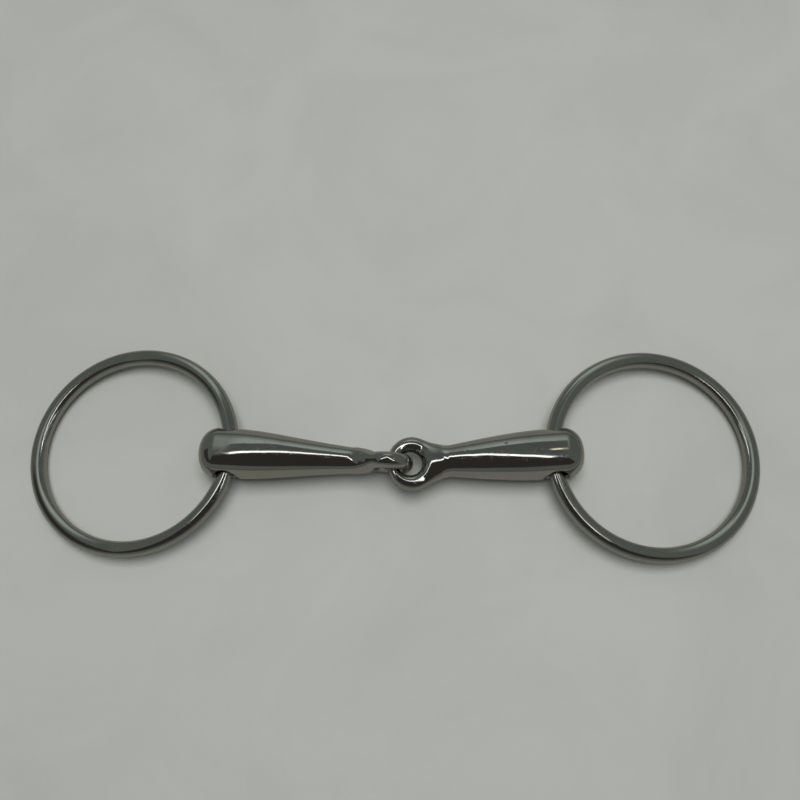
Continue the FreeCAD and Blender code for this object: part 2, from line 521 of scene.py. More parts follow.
def add_piece(mesh: bpy.types.Mesh, name: str) -> bpy.types.Object:
    """Put a mesh in the scene as an object at the origin.

    Args:
        mesh: the mesh, with its place in it.
        name: the object's name.

    Returns:
        The object.
    """
    piece = bpy.data.objects.new(name, mesh)
    bpy.context.scene.collection.objects.link(piece)
    return piece


def store_grain(mesh: bpy.types.Mesh, values: Array) -> None:
    """Store the coordinates that follow the polishing direction.

    Args:
        mesh: the mesh that gets the attribute.
        values: three numbers per point.
    """
    attribute = mesh.attributes.new(GRAIN, "FLOAT_VECTOR", "POINT")
    attribute.data.foreach_set("vector", values.astype(np.float32).ravel())


def point_array(mesh: bpy.types.Mesh) -> Array:
    """Read a mesh's points.

    Args:
        mesh: the mesh.

    Returns:
        One row of three numbers per point.
    """
    points = np.empty(len(mesh.vertices) * 3, np.float32)
    mesh.vertices.foreach_get("co", points)
    return points.reshape(-1, 3).astype(float)


# ---- node helpers ---------------------------------------------------------------------------


class Bench:
    """Adds and joins nodes in one tree."""

    def __init__(self, tree: bpy.types.NodeTree) -> None:
        """Keep the tree.

        Args:
            tree: the tree to work in.
        """
        self.tree = tree

    def add(self, kind: str, settings: dict | None = None, **inputs: object) -> bpy.types.Node:
        """Add a node.

        Args:
            kind: the node's type.
            settings: properties of the node itself.
            inputs: what goes in each input, by the input's name with _ for a space; an output
                socket is linked, and anything else is set as the value.

        Returns:
            The node.
        """
        node = self.tree.nodes.new(kind)
        for key, value in (settings or {}).items():
            setattr(node, key, value)
        for key, value in inputs.items():
            self.feed(node.inputs[key.replace("_", " ")], value)
        return node

    def feed(self, socket: bpy.types.NodeSocket, value: object) -> None:
        """Link an output to an input socket, or set the socket's value.

        Args:
            socket: the input socket.
            value: an output socket to link, or the value to set.
        """
        if isinstance(value, bpy.types.NodeSocket):
            self.tree.links.new(value, socket)
        else:
            socket.default_value = value

    def math(self, operation: str, *terms: object, clamp: bool = False) -> bpy.types.NodeSocket:
        """Add a Math node.

        Args:
            operation: what it does.
            terms: its inputs, in order.
            clamp: whether the result is held between 0 and 1.

        Returns:
            The result's socket.
        """
        node = self.tree.nodes.new("ShaderNodeMath")
        node.operation = operation
        node.use_clamp = clamp
        for socket, term in zip(node.inputs, terms):
            self.feed(socket, term)
        return node.outputs[0]

    def ramp(self, value: bpy.types.NodeSocket, low: float, high: float,
             to_low: float = 0.0, to_high: float = 1.0) -> bpy.types.NodeSocket:
        """Ease a value from one range to another.

        Args:
            value: what is mapped.
            low: value that becomes to_low.
            high: value that becomes to_high.
            to_low: result at low.
            to_high: result at high.

        Returns:
            The result's socket.
        """
        node = self.tree.nodes.new("ShaderNodeMapRange")
        node.interpolation_type = "SMOOTHSTEP"
        for socket, term in zip(node.inputs, (value, low, high, to_low, to_high)):
            self.feed(socket, term)
        return node.outputs[0]

    def mix_colour(self, share: object, first: object, second: object) -> bpy.types.NodeSocket:
        """Mix two colours.

        Args:
            share: how much of the second, from 0 to 1.
            first: the first colour.
            second: the second colour.

        Returns:
            The mixed colour's socket.
        """
        node = self.tree.nodes.new("ShaderNodeMix")
        node.data_type = "RGBA"
        self.feed(node.inputs[0], share)
        self.feed(node.inputs[6], first)
        self.feed(node.inputs[7], second)
        return node.outputs[2]


def open_group(name: str, inputs: Sequence[tuple[str, str, object]],
               outputs: Sequence[tuple[str, str]]) -> tuple[bpy.types.NodeTree, Bench, dict, bpy.types.Node]:
    """Start a shader node group.

    Args:
        name: the group's name.
        inputs: name, socket type and default of each input.
        outputs: name and socket type of each output.

    Returns:
        The group, a bench for it, its input sockets by name, and its output node.
    """
    group = bpy.data.node_groups.new(name, "ShaderNodeTree")
    for title, kind, default in inputs:
        socket = group.interface.new_socket(title, in_out="INPUT", socket_type=kind)
        if default is not None:
            socket.default_value = default
    for title, kind in outputs:
        group.interface.new_socket(title, in_out="OUTPUT", socket_type=kind)
    start = group.nodes.new("NodeGroupInput")
    end = group.nodes.new("NodeGroupOutput")
    return group, Bench(group), {socket.name: socket for socket in start.outputs}, end


class Effects:
    """The shader node groups that the finishes share, each built once."""

    scratch_stretch: tuple[float, float, float] = (0.05, 1.0, 1.0)    # drawn out along the scratch
    patch_scale: float = 260.0           # of the patches that scratches come in
    patch_edge: float = 9.0              # how sharply such a patch ends
    smear_edge: float = 3.5              # how sharply a smear ends
    smallest_pit: float = 0.35           # as a share of the largest
    pit_fall: float = 0.6                # under 1 gives a pinhole steep sides

    def __init__(self) -> None:
        """Build the groups."""
        self.scratches = self.make_scratches()
        self.smears = self.make_smears()
        self.pits = self.make_pits()

    @staticmethod
    def make_scratches() -> bpy.types.NodeTree:
        """Build thin straight scratches: the level lines of a stretched noise, broken up in patches.

        Returns:
            A group whose Mask is 1 on a scratch.
        """
        group, bench, given, end = open_group(
            "fine_scratches",
            [("Vector", "NodeSocketVector", None), ("Turn", "NodeSocketVector", (0.0, 0.0, 0.0)),
             ("Fineness", "NodeSocketFloat", 900.0), ("Width", "NodeSocketFloat", 0.012),
             ("Cover", "NodeSocketFloat", 0.5)],
            [("Mask", "NodeSocketFloat")])
        turned = bench.add("ShaderNodeVectorRotate", {"rotation_type": "EULER_XYZ"},
                           Vector=given["Vector"], Rotation=given["Turn"]).outputs[0]
        drawn = bench.add("ShaderNodeVectorMath", {"operation": "MULTIPLY"}).outputs[0]
        bench.feed(drawn.node.inputs[0], turned)
        bench.feed(drawn.node.inputs[1], Effects.scratch_stretch)
        noise = bench.add("ShaderNodeTexNoise", Vector=drawn, Scale=given["Fineness"], Detail=1.5,
                          Roughness=0.55).outputs[0]
        off = bench.math("ABSOLUTE", bench.math("SUBTRACT", noise, 0.5))
        line = bench.math("SUBTRACT", 1.0, bench.math("DIVIDE", off, given["Width"]), clamp=True)
        patch = bench.add("ShaderNodeTexNoise", Vector=turned, Scale=Effects.patch_scale,
                          Detail=2.0).outputs[0]
        edge = bench.math("SUBTRACT", 1.0, given["Cover"])
        kept = bench.math("MULTIPLY", bench.math("SUBTRACT", patch, edge), Effects.patch_edge, clamp=True)
        bench.feed(end.inputs["Mask"], bench.math("MULTIPLY", line, kept))
        return group

    @staticmethod
    def make_smears() -> bpy.types.NodeTree:
        """Build cloudy smears left by hands and cloths.

        Returns:
            A group whose Mask is 1 where the polish is dulled.
        """
        group, bench, given, end = open_group(
            "smears",
            [("Vector", "NodeSocketVector", None), ("Scale", "NodeSocketFloat", 90.0),
             ("Cover", "NodeSocketFloat", 0.5)],
            [("Mask", "NodeSocketFloat")])
        cloud = bench.add("ShaderNodeTexNoise", Vector=given["Vector"], Scale=given["Scale"], Detail=5.0,
                          Roughness=0.62, Distortion=0.8).outputs[0]
        edge = bench.math("SUBTRACT", 1.0, given["Cover"])
        mask = bench.math("MULTIPLY", bench.math("SUBTRACT", cloud, edge), Effects.smear_edge, clamp=True)
        bench.feed(end.inputs["Mask"], mask)
        return group

    @staticmethod
    def make_pits() -> bpy.types.NodeTree:
        """Build scattered pinholes.

        Returns:
            A group whose Mask is 1 in a pinhole.
        """
        group, bench, given, end = open_group(
            "pinholes",
            [("Vector", "NodeSocketVector", None), ("Scale", "NodeSocketFloat", 420.0),
             ("Radius", "NodeSocketFloat", 0.16), ("Cover", "NodeSocketFloat", 0.2)],
            [("Mask", "NodeSocketFloat")])
        cells = bench.add("ShaderNodeTexVoronoi", Vector=given["Vector"], Scale=given["Scale"])
        lot = bench.add("ShaderNodeSeparateColor", Color=cells.outputs["Color"])
        chosen = bench.math("LESS_THAN", lot.outputs[0], given["Cover"])
        share = bench.ramp(lot.outputs[1], 0.0, 1.0, Effects.smallest_pit, 1.0)
        size = bench.math("MULTIPLY", given["Radius"], share)
        spot = bench.math("SUBTRACT", 1.0, bench.math("DIVIDE", cells.outputs["Distance"], size), clamp=True)
        deep = bench.math("POWER", spot, Effects.pit_fall)
        bench.feed(end.inputs["Mask"], bench.math("MULTIPLY", deep, chosen))
        return group


# ---- finishes -------------------------------------------------------------------------------


def new_material(name: str) -> tuple[bpy.types.Material, Bench, bpy.types.Node]:
    """Start a material.

    Args:
        name: the material's name.

    Returns:
        The material, a bench for its tree, and its Principled BSDF.
    """
    material = bpy.data.materials.new(name)
    material.use_nodes = True
    return material, Bench(material.node_tree), material.node_tree.nodes["Principled BSDF"]


@dataclass(frozen=True)
class ScratchSet:
    """Scratches that lie one way."""

    turn: tuple[float, float, float]     # how far their direction is turned, in radians
    fineness: float
    width: float
    cover: float


@dataclass(frozen=True)
class PolishedSteel:
    """Mirror-polished stainless steel that has been used and wiped."""

    name: str
    tint: tuple[float, float, float, float] = (0.47, 0.475, 0.46, 1.0)
    worn_tint: tuple[float, float, float, float] = (0.38, 0.375, 0.355, 1.0)
    # near black for the pinholes: painted shade in their hollows
    pit_painted_shade: tuple[float, float, float, float] = (0.045, 0.04, 0.036, 1.0)
    roughness: float = 0.055
    smear_roughness: float = 0.07
    scratch_roughness: float = 0.20
    grain_depth: float = 0.0009
    scratch_depth: float = 0.006
    pit_depth: float = 0.05
    pit_cover: float = 0.05
    pit_scale: float = 430.0
    pit_radius: float = 0.2
    pit_roughness: float = 0.45
    smear_scale: float = 70.0
    smear_cover: float = 0.56
    smear_share: float = 0.55            # how far a smear takes the tint towards the worn one
    cloud_scale: float = 420.0           # of the finer smears
    cloud_cover: float = 0.52
    grain: ScratchSet = ScratchSet((0.0, 0.0, 0.0), 2600.0, 0.05, 0.72)
    long_marks: ScratchSet = ScratchSet((0.0, 0.0, 0.5), 1150.0, 0.0045, 0.5)
    cross_marks: ScratchSet = ScratchSet((0.3, 0.2, -1.1), 950.0, 0.004, 0.46)
    mark_share: float = 0.5              # how far a mark takes the tint towards the worn one

    def material(self, effects: Effects) -> bpy.types.Material:
        """Build the material.

        Args:
            effects: the shared node groups.

        Returns:
            The material.
        """
        material, bench, shader = new_material(self.name)
        place = bench.add("ShaderNodeTexCoord").outputs["Object"]
        grain = bench.add("ShaderNodeAttribute", {"attribute_name": GRAIN}).outputs["Vector"]
        smear = self.mask(bench, effects.smears, Vector=place, Scale=self.smear_scale, Cover=self.smear_cover)
        cloud = self.mask(bench, effects.smears, Vector=place, Scale=self.cloud_scale, Cover=self.cloud_cover)
        pits = self.mask(bench, effects.pits, Vector=place, Scale=self.pit_scale, Radius=self.pit_radius,
                         Cover=self.pit_cover)
        polish = self.scratched(bench, effects, self.grain, grain)
        marks = bench.math("MAXIMUM", self.scratched(bench, effects, self.long_marks, place),
                           self.scratched(bench, effects, self.cross_marks, place))
        worn = bench.mix_colour(bench.math("MULTIPLY", smear, self.smear_share), self.tint, self.worn_tint)
        marked = bench.mix_colour(bench.math("MULTIPLY", marks, self.mark_share), worn, self.worn_tint)
        # Pinholes get near-black colour as painted shade in their hollows, as well as their bump and
        # roughness.
        bench.feed(shader.inputs["Base Color"], bench.mix_colour(pits, marked, self.pit_painted_shade))
        rough = bench.math("MULTIPLY_ADD", smear, self.smear_roughness, self.roughness)
        rough = bench.math("MULTIPLY_ADD", cloud, self.smear_roughness / 3.0, rough)
        rough = bench.math("MULTIPLY_ADD", marks, self.scratch_roughness, rough)
        rough = bench.math("MULTIPLY_ADD", pits, self.pit_roughness, rough, clamp=True)
        bench.feed(shader.inputs["Roughness"], rough)
        height = bench.math("MULTIPLY", polish, -self.grain_depth)
        height = bench.math("MULTIPLY_ADD", marks, -self.scratch_depth, height)
        height = bench.math("MULTIPLY_ADD", pits, -self.pit_depth, height)
        bump = bench.add("ShaderNodeBump", Strength=1.0, Distance=MM, Height=height)
        bench.feed(shader.inputs["Normal"], bump.outputs["Normal"])
        shader.inputs["Metallic"].default_value = 1.0
        return material

    @staticmethod
    def mask(bench: Bench, group: bpy.types.NodeTree, **inputs: object) -> bpy.types.NodeSocket:
        """Place a shared group in the material and return its Mask."""
        return bench.add("ShaderNodeGroup", {"node_tree": group}, **inputs).outputs["Mask"]

    def scratched(self, bench: Bench, effects: Effects, marks: ScratchSet,
                  place: bpy.types.NodeSocket) -> bpy.types.NodeSocket:
        """Place one set of scratches in the material.

        Args:
            bench: the material's bench.
            effects: the shared node groups.
            marks: the set.
            place: the coordinates that the scratches follow.

        Returns:
            The set's Mask.
        """
        return self.mask(bench, effects.scratches, Vector=place, Turn=marks.turn, Fineness=marks.fineness,
                         Width=marks.width, Cover=marks.cover)


@dataclass(frozen=True)
class PalePaint:
    """Pale, slightly glossy paint on the board that the bit lies on."""

    name: str = "pale_paint"
    tint: tuple[float, float, float, float] = (0.60, 0.61, 0.60, 1.0)
    shade: tuple[float, float, float, float] = (0.53, 0.54, 0.53, 1.0)
    roughness: float = 0.42
    cloud_scale: float = 14.0
    cloud_cover: float = 0.6
    cloud_share: float = 0.6             # how far a cloud takes the tint towards the shade
    skin_scale: float = 900.0            # of the paint's fine unevenness
    skin_strength: float = 0.25
    skin_depth: float = 0.2 * MM

    def material(self, effects: Effects) -> bpy.types.Material:
        """Build the material.

        Args:
            effects: the shared node groups.

        Returns:
            The material.
        """
        material, bench, shader = new_material(self.name)
        place = bench.add("ShaderNodeTexCoord").outputs["Object"]
        cloud = bench.add("ShaderNodeGroup", {"node_tree": effects.smears},
                          Vector=place, Scale=self.cloud_scale, Cover=self.cloud_cover).outputs["Mask"]
        share = bench.math("MULTIPLY", cloud, self.cloud_share)
        bench.feed(shader.inputs["Base Color"], bench.mix_colour(share, self.tint, self.shade))
        skin = bench.add("ShaderNodeTexNoise", Vector=place, Scale=self.skin_scale, Detail=3.0).outputs[0]
        bump = bench.add("ShaderNodeBump", Strength=self.skin_strength, Distance=self.skin_depth, Height=skin)
        bench.feed(shader.inputs["Normal"], bump.outputs["Normal"])
        shader.inputs["Roughness"].default_value = self.roughness
        return material


@dataclass(frozen=True)
class ShadedReflectionPaint(PalePaint):
    """The same board painted darker, seen only in shiny surfaces, with none of the lamp's sheen: painted
    shade on the board's reflection.
    """

    name: str = "shaded_reflection_paint"
    # darker colours: painted shade for the board as the steel reflects it
    tint: tuple[float, float, float, float] = (0.37, 0.355, 0.315, 1.0)
    shade: tuple[float, float, float, float] = (0.33, 0.31, 0.27, 1.0)
    roughness: float = 0.9


# ---- the bit --------------------------------------------------------------------------------


@dataclass
class MouthpieceHalf:
    """One half of the mouthpiece: a bar with a ring hole in its thick end and an eye on its neck."""

    side: Side
    axes: Axes
    length: float                        # from the ring hole's axis to the tip of the eye
    middle_r: float
    eye_roll_deg: float                  # how far the eye is turned from flat
    finish: HandFinish
    marks: Sequence[Dent] = ()
    ring_hole_r: float = 3.85 * MM
    ring_hole_lip_r: float = 1.3 * MM
    fillet_r: float = 6.0 * MM           # hollow curve from the neck out to the eye
    web_half: float = 3.7 * MM           # half the neck's thickness where it meets the eye's hole
    web_setback: float = 0.9 * MM        # from the eye's hole to the end of the neck's own metal
    web_lip_r: float = 2.2 * MM
    waist_setback: float = 12.0 * MM     # from the middle of the eye to where the neck starts to flatten
    hollow_share: float = 0.8            # of the distance from the eye's hole, for the hollow curve
    least_hollow: float = 0.3 * MM
    skin_step: float = 0.34 * MM
    quick_step: float = 0.68 * MM
    skin_spare: float = 0.8 * MM         # room round the shape in the box that the net is laid through
    settle_rounds: int = 3
    relax_rounds: int = 6
    dents: list = field(default_factory=list)

    def __post_init__(self) -> None:
        """Make the forms of the bar and the eye."""
        self.name = f"{self.side.value}_mouthpiece_steel"
        self.bar = BarForm(self.middle_r)
        self.eye = EyeForm(self.length - EyeForm.reach_r)

    def head_axes(self, points: Array) -> tuple[Array, Array, Array]:
        """Turn points to the plane of the eye.

        Args:
            points: points in the half's own coordinates.

        Returns:
            Their distances along the bar, across it in the plane of the eye, and from that plane.
        """
        roll = math.radians(self.eye_roll_deg)
        wide = points[:, 1] * math.cos(roll) + points[:, 2] * math.sin(roll)
        thick = points[:, 2] * math.cos(roll) - points[:, 1] * math.sin(roll)
        return points[:, 0], wide, thick

    def distance(self, points: Array) -> Array:
        """Measure how far points are from the half's skin.

        Args:
            points: points in the half's own coordinates.

        Returns:
            Distances to the skin, negative inside.
        """
        run, wide, thick = self.head_axes(points)
        rim_run = self.eye.hole_run - self.eye.hole_r
        waist_run = self.eye.centre_run - self.waist_setback
        flat = smooth_step((run - waist_run) / (rim_run - waist_run))
        squeeze = 1.0 + flat * (np.maximum(self.bar.radius(run), self.web_half) / self.web_half - 1.0)
        bar = self.bar.distance(run, np.hypot(wide, thick * squeeze))
        bar = np.maximum(bar, run - self.eye.hole_run)
        in_hole = self.eye.hole_distance(run, wide)
        bar = round_common(bar, in_hole + self.web_setback, self.web_lip_r)
        ring = self.eye.distance(run, wide, thick)
        hollow = np.clip(-self.hollow_share * in_hole, self.least_hollow, self.fillet_r)
        body = round_union(bar, ring, hollow)
        bore = self.ring_hole_r - np.hypot(points[:, 0], points[:, 2])
        body = round_common(body, bore, self.ring_hole_lip_r)
        body = body + self.finish.wave_distance(points)
        for middle, radius, depth in self.dents:
            apart = ((points - middle) ** 2).sum(axis=1)
            body = body + depth * np.exp(-apart / radius ** 2)
        return body

    def mark_dents(self) -> list[tuple[Array, float, float]]:
        """Place the half's own marks on its skin.

        Returns:
            The middle, radius and depth of each mark.
        """
        placed = []
        for mark in self.marks:
            out = float(self.bar.radius(np.array([mark.run]))[0])
            lean = math.radians(mark.lean_deg)
            middle = np.array([mark.run, out * math.sin(lean), out * math.cos(lean)])
            placed.append((middle, mark.radius, mark.depth))
        return placed

    def build(self) -> bpy.types.Object:
        """Lay the skin, settle it on the rule and put it in place.

        Returns:
            The piece, at the origin, with its place in its mesh.
        """
        wide = max(self.eye.side_r, self.bar.mouth_r) + self.skin_spare
        low = np.array([-self.bar.end_reach - self.skin_spare, -wide, -wide])
        high = np.array([self.length + self.skin_spare, wide, wide])
        step = self.skin_step
        skin = lay_skin(self.distance, low, high, step)
        skin.settle(self.settle_rounds)
        skin.relax(self.relax_rounds)
        self.dents = self.finish.dents(skin.points) + self.mark_dents()
        skin.settle(self.settle_rounds)
        mesh = skin.mesh(self.name)
        store_grain(mesh, skin.points * np.array([GRAIN_STRETCH, 1.0, 1.0]))
        mesh.transform(self.axes.matrix())
        return add_piece(mesh, self.name)

    def dress(self, piece: bpy.types.Object, steel: bpy.types.Material) -> None:
        """Give the piece its finish and its place on the moving bodies.

        Args:
            piece: the half.
            steel: its material.
        """
        node = f"{self.side.value}_mouthpiece"
        piece.data.materials.append(steel)
        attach(piece, node)
        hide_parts(node)


@dataclass
class CheekRing:
    """One loose cheek ring: round bar bent to a circle and welded flush."""

    side: Side
    axes: Axes
    outer_r: float
    seed: int
    wire_r: float = 2.75 * MM
    turns: int = 720                     # points round the ring
    facets: int = 72                     # points round the wire
    wave_height: float = 0.010 * MM      # unevenness left by bending and polishing
    wave_scale: float = 90.0
    dent_depth: float = 0.035 * MM
    dent_scale: float = 330.0
    dent_limit: float = 0.20             # how much of the noise counts as a dent

    def __post_init__(self) -> None:
        """Name the ring."""
        self.name = f"{self.side.value}_ring_steel"

    def tree(self) -> bpy.types.NodeTree:
        """Build the Geometry Nodes tree that bends the bar, wears it and gives it its finish.

        Returns:
            The tree, with named inputs for the sizes, the seed and the material.
        """
        tree = bpy.data.node_groups.new(f"{self.name}_sweep", "GeometryNodeTree")
        face = tree.interface
        for title, kind in (("Ring Radius", "NodeSocketFloat"), ("Wire Radius", "NodeSocketFloat"),
                            ("Turns", "NodeSocketInt"), ("Facets", "NodeSocketInt"),
                            ("Wave Height", "NodeSocketFloat"), ("Wave Scale", "NodeSocketFloat"),
                            ("Dent Depth", "NodeSocketFloat"), ("Dent Scale", "NodeSocketFloat"),
                            ("Dent Limit", "NodeSocketFloat"), ("Seed", "NodeSocketFloat"),
                            ("Steel", "NodeSocketMaterial")):
            face.new_socket(title, in_out="INPUT", socket_type=kind)
        face.new_socket("Geometry", in_out="OUTPUT", socket_type="NodeSocketGeometry")
        bench = Bench(tree)
        given = {socket.name: socket for socket in tree.nodes.new("NodeGroupInput").outputs}
        path = bench.add("GeometryNodeCurvePrimitiveCircle", Resolution=given["Turns"],
                         Radius=given["Ring Radius"]).outputs["Curve"]
        section = bench.add("GeometryNodeCurvePrimitiveCircle", Resolution=given["Facets"],
                            Radius=given["Wire Radius"]).outputs["Curve"]
        swept = bench.add("GeometryNodeCurveToMesh", Curve=path, Profile_Curve=section).outputs["Mesh"]
        position = bench.add("GeometryNodeInputPosition").outputs[0]
        normal = bench.add("GeometryNodeInputNormal").outputs[0]
        wave = bench.add("ShaderNodeTexNoise", {"noise_dimensions": "4D"}, Vector=position,
                         W=given["Seed"], Scale=given["Wave Scale"], Detail=2.0).outputs[0]
        lift = bench.math("MULTIPLY", bench.math("SUBTRACT", wave, 0.5), given["Wave Height"])
        cells = bench.add("ShaderNodeTexNoise", {"noise_dimensions": "4D"}, Vector=position,
                          W=given["Seed"], Scale=given["Dent Scale"], Detail=0.0).outputs[0]
        hollow = bench.math("SUBTRACT", given["Dent Limit"], cells)
        depth = bench.math("MULTIPLY", bench.math("MAXIMUM", hollow, 0.0), given["Dent Depth"])
        offset = bench.add("ShaderNodeVectorMath", {"operation": "SCALE"},
                           Scale=bench.math("SUBTRACT", lift, depth))
        bench.feed(offset.inputs[0], normal)
        worn = bench.add("GeometryNodeSetPosition", Geometry=swept, Offset=offset.outputs[0]).outputs[0]
        smooth = bench.add("GeometryNodeSetShadeSmooth", Geometry=worn, Shade_Smooth=True).outputs[0]
        real = bench.add("GeometryNodeRealizeInstances", Geometry=smooth).outputs[0]
        dressed = bench.add("GeometryNodeSetMaterial", Geometry=real, Material=given["Steel"]).outputs[0]
        bench.feed(tree.nodes.new("NodeGroupOutput").inputs["Geometry"], dressed)
        return tree

    def build(self, steel: bpy.types.Material) -> bpy.types.Object:
        """Sweep the ring and put it in place.

        Args:
            steel: its material.

        Returns:
            The piece, at the origin, with its place in its mesh.
        """
        tree = self.tree()
        values = {"Ring Radius": self.outer_r - self.wire_r, "Wire Radius": self.wire_r,
                  "Turns": self.turns, "Facets": self.facets, "Wave Height": self.wave_height,
                  "Wave Scale": self.wave_scale, "Dent Depth": self.dent_depth,
                  "Dent Scale": self.dent_scale, "Dent Limit": self.dent_limit,
                  "Seed": float(self.seed), "Steel": steel}
        blank = add_piece(bpy.data.meshes.new(f"{self.name}_blank"), f"{self.name}_blank")
        modifier = blank.modifiers.new("sweep", "NODES")
        modifier.node_group = tree
        for item in tree.interface.items_tree:
            if item.in_out == "INPUT":
                modifier[item.identifier] = values[item.name]
        graph = bpy.context.evaluated_depsgraph_get()
        mesh = bpy.data.meshes.new_from_object(blank.evaluated_get(graph), depsgraph=graph)
        blank.modifiers.remove(modifier)
        bpy.data.objects.remove(blank)
        mesh.name = self.name
        self.store_wire_grain(mesh)
        mesh.transform(self.axes.matrix())
        return add_piece(mesh, self.name)

    def store_wire_grain(self, mesh: bpy.types.Mesh) -> None:
        """Store coordinates that run with the wire, for the marks of polishing along it.

        Args:
            mesh: the ring's mesh, in its own coordinates.
        """
        points = point_array(mesh)
        out = np.hypot(points[:, 0], points[:, 1]) - (self.outer_r - self.wire_r)
        grain = points * GRAIN_STRETCH
        grain[:, 1] += out
        grain[:, 2] += points[:, 2]
        store_grain(mesh, grain)

    def dress(self, piece: bpy.types.Object) -> None:
        """Give the piece its place on the moving bodies.

        Args:
            piece: the ring.
        """
        node = f"{self.side.value}_ring"
        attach(piece, node)
        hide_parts(node)


# ---- the studio -----------------------------------------------------------------------------


@dataclass(frozen=True)
class Card:
    """Flat level card that only shows in the steel: a dark one, or a glowing one."""

    name: str
    outline: Sequence[tuple[float, float]]
    tint: tuple[float, float, float, float]
    glow: float
    height: float = 0.15

    def hang(self) -> None:
        """Make the card and hang it, hidden from the camera and from soft light."""
        mesh = bpy.data.meshes.new(self.name)
        corners = [(x, y, self.height) for x, y in self.outline]
        mesh.from_pydata(corners, [], [tuple(range(len(corners)))])
        card = add_piece(mesh, self.name)
        material = bpy.data.materials.new(self.name)
        material.use_nodes = True
        nodes = material.node_tree.nodes
        nodes.clear()
        bench = Bench(material.node_tree)
        light = bench.add("ShaderNodeEmission", Color=self.tint, Strength=self.glow)
        end = nodes.new("ShaderNodeOutputMaterial")
        bench.feed(end.inputs["Surface"], light.outputs[0])
        mesh.materials.append(material)
        hide_from_soft_light(card)


def hide_from_soft_light(thing: bpy.types.Object) -> None:
    """Let a thing show only in shiny surfaces.

    Args:
        thing: a card or a board.
    """
    thing.visible_camera = False
    thing.visible_diffuse = False
    thing.visible_shadow = False


def ribbon(spine: Sequence[tuple[float, float]], width: float) -> list[tuple[float, float]]:
    """Outline a level ribbon that follows a line.

    Args:
        spine: points along its middle, from low X to high X.
        width: its width across, along Y.

    Returns:
        The corners of its outline.
    """
    near = [(x, y - width / 2.0) for x, y in spine]
    far = [(x, y + width / 2.0) for x, y in reversed(spine)]
    return near + far


